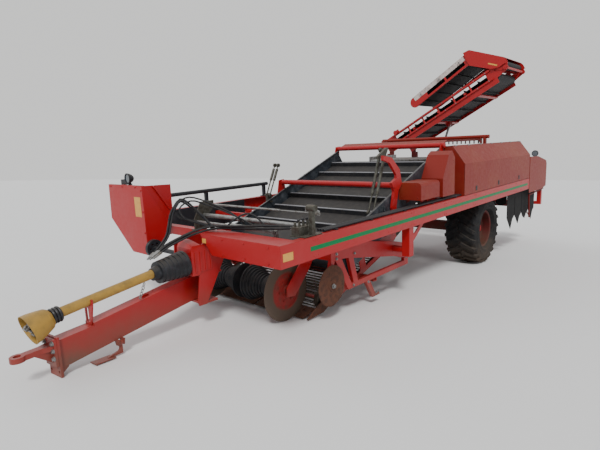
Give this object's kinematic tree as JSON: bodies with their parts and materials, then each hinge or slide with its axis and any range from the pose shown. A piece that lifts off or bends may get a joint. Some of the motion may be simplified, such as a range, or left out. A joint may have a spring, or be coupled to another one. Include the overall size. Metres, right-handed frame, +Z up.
{
  "type": "towed two-row elevator potato harvester",
  "caption": "Towed potato harvester with offset drawbar, flighted web, digging unit, long side hood and a folding discharge elevator, parked nose-down on its drawbar plate.",
  "frame": {"origin": "middle of the overall length and width, on the ground", "axes": "+X forward to the hitch, +Y to the machine's left, +Z up"},
  "size_m": [9.707, 3.0227, 3.8811],
  "materials": {
    "red_paint": "sun-faded red enamel on welded steel",
    "dark_red_paint": "shaded maroon enamel",
    "green_stripe": "green vinyl stripe",
    "black_paint": "black enamel",
    "sheet_steel": "dark rolled sheet with bare edges",
    "bare_steel": "worn bright steel",
    "rusty_steel": "soil-polished rusty steel",
    "belt_rubber": "dusty black rubber",
    "tyre_rubber": "moulded tyre rubber",
    "yellow_plastic": "weathered yellow polyethylene",
    "pale_plastic": "sun-bleached pale plastic strip",
    "lamp_plastic": "black lamp housing"
  },
  "bodies": {
    "chassis": {"chassis_frame": "red_paint", "axle": "dark_red_paint", "headstock": "red_paint", "front_panel": "red_paint", "side_stripes": "green_stripe", "right_shield": "red_paint", "right_rail": "black_paint", "gearbox": "black_paint", "gearbox_guard": "red_paint", "conveyor_sides": "sheet_steel", "flight_belt": "belt_rubber", "cross_tubes": "red_paint", "tension_struts": "bare_steel", "guard_boxes": "red_paint", "valve_stand": "bare_steel", "guide_rods": "bare_steel", "hose_bundle": "belt_rubber", "side_pipes": "black_paint", "second_web": "bare_steel", "main_hood": "red_paint", "rear_panel": "dark_red_paint", "work_lamps": "lamp_plastic", "top_cover": "red_paint", "sorting_table": "bare_steel", "rear_platform": "dark_red_paint", "rear_flaps": "belt_rubber", "elevator_mount": "dark_red_paint"},
    "hood_door": {"hood_door": "red_paint"},
    "wheel_left": {"tyre_left": "tyre_rubber", "rim_left": "red_paint"},
    "wheel_right": {"tyre_right": "tyre_rubber", "rim_right": "red_paint"},
    "drawbar": {"drawbar": "red_paint", "hitch_eye": "red_paint", "pto_shaft": "bare_steel", "pto_guard": "yellow_plastic", "pto_rear_cone": "lamp_plastic", "pto_support": "red_paint"},
    "parking_foot": {"parking_foot": "red_paint"},
    "digger": {"digger_frame": "red_paint", "shares": "rusty_steel", "digging_web": "bare_steel"},
    "coulter_left": {"coulter_left": "rusty_steel"},
    "coulter_right": {"coulter_right": "rusty_steel"},
    "guide_disc_left": {"guide_disc_left": "rusty_steel"},
    "guide_disc_right": {"guide_disc_right": "rusty_steel"},
    "ridge_roller_left": {"ridge_roller_left": "belt_rubber"},
    "ridge_roller_right": {"ridge_roller_right": "belt_rubber"},
    "elevator": {"elevator_trough": "red_paint", "elevator_belt": "belt_rubber"},
    "elevator_outer": {"outer_trough": "red_paint", "outer_strip": "pale_plastic", "outer_belt": "belt_rubber", "knee_hood": "red_paint"},
    "lift_cylinder": {"lift_cylinder": "black_paint"},
    "lift_rod": {"lift_rod": "bare_steel"}
  },
  "joints": [
    {"name": "wheel_left_spin", "type": "hinge", "parent": "chassis", "child": "wheel_left", "pos_m": [-1.88279, 1.12, 0.585], "axis": [0, 1, 0], "continuous": true},
    {"name": "wheel_right_spin", "type": "hinge", "parent": "chassis", "child": "wheel_right", "pos_m": [-1.88279, -1.12, 0.585], "axis": [0, 1, 0], "continuous": true},
    {"name": "drawbar_steer", "type": "hinge", "parent": "chassis", "child": "drawbar", "pos_m": [3.06611, 0.215, 0.41191], "axis": [0.0628, 0, 0.998], "range_deg": [-15.4, 0]},
    {"name": "parking_foot_fold", "type": "hinge", "parent": "drawbar", "child": "parking_foot", "pos_m": [4.01676, 0.4104, 0.11302], "axis": [0.989, 0.134, -0.0622], "range_deg": [0, 90]},
    {"name": "digger_lift", "type": "hinge", "parent": "chassis", "child": "digger", "pos_m": [0.91458, 0.25, 0.61441], "axis": [0, -1, 0], "range_deg": [-14, 1]},
    {"name": "coulter_left_spin", "type": "hinge", "parent": "digger", "child": "coulter_left", "pos_m": [2.44959, 0.88, 0.32746], "axis": [0, 1, 0], "continuous": true},
    {"name": "coulter_right_spin", "type": "hinge", "parent": "digger", "child": "coulter_right", "pos_m": [2.44959, -0.38, 0.32746], "axis": [0, 1, 0], "continuous": true},
    {"name": "ridge_roller_left_spin", "type": "hinge", "parent": "digger", "child": "ridge_roller_left", "pos_m": [2.39376, 0.56, 0.31594], "axis": [0, 1, 0], "continuous": true},
    {"name": "guide_disc_left_spin", "type": "hinge", "parent": "digger", "child": "guide_disc_left", "pos_m": [2.17328, 1.264, 0.39494], "axis": [0, 1, 0], "continuous": true},
    {"name": "guide_disc_right_spin", "type": "hinge", "parent": "digger", "child": "guide_disc_right", "pos_m": [2.17328, -0.754, 0.39494], "axis": [0, 1, 0], "continuous": true},
    {"name": "ridge_roller_right_spin", "type": "hinge", "parent": "digger", "child": "ridge_roller_right", "pos_m": [2.39376, -0.06, 0.31594], "axis": [0, 1, 0], "continuous": true},
    {"name": "elevator_lift", "type": "hinge", "parent": "chassis", "child": "elevator", "pos_m": [-3.67023, -1.24, 2.11525], "axis": [0.998, 0, -0.0628], "range_deg": [-2, 14]},
    {"name": "elevator_fold", "type": "hinge", "parent": "elevator", "child": "elevator_outer", "pos_m": [-3.58658, 1.12928, 3.44482], "axis": [-0.998, 0, 0.0628], "range_deg": [0, 180]},
    {"name": "lift_cylinder_turn", "type": "hinge", "parent": "chassis", "child": "lift_cylinder", "pos_m": [-3.70791, -0.45, 1.51644], "axis": [0.998, 0, -0.0628], "range_deg": [-2, 10]},
    {"name": "lift_rod_slide", "type": "slide", "parent": "lift_cylinder", "child": "lift_rod", "axis": [0.0599, 0.3022, 0.9514], "range_m": [-0.035, 0.23]},
    {"name": "hood_door_open", "type": "hinge", "parent": "chassis", "child": "hood_door", "pos_m": [-1.79495, 1.31, 1.98124], "axis": [0.998, 0, -0.0628], "range_deg": [0, 95]}
  ],
  "couplings": [
    {"joint": "lift_cylinder_turn", "follows": "elevator_lift", "ratio": 0.6498},
    {"joint": "lift_rod_slide", "follows": "elevator_lift", "m_per_rad": 0.9095}
  ]
}
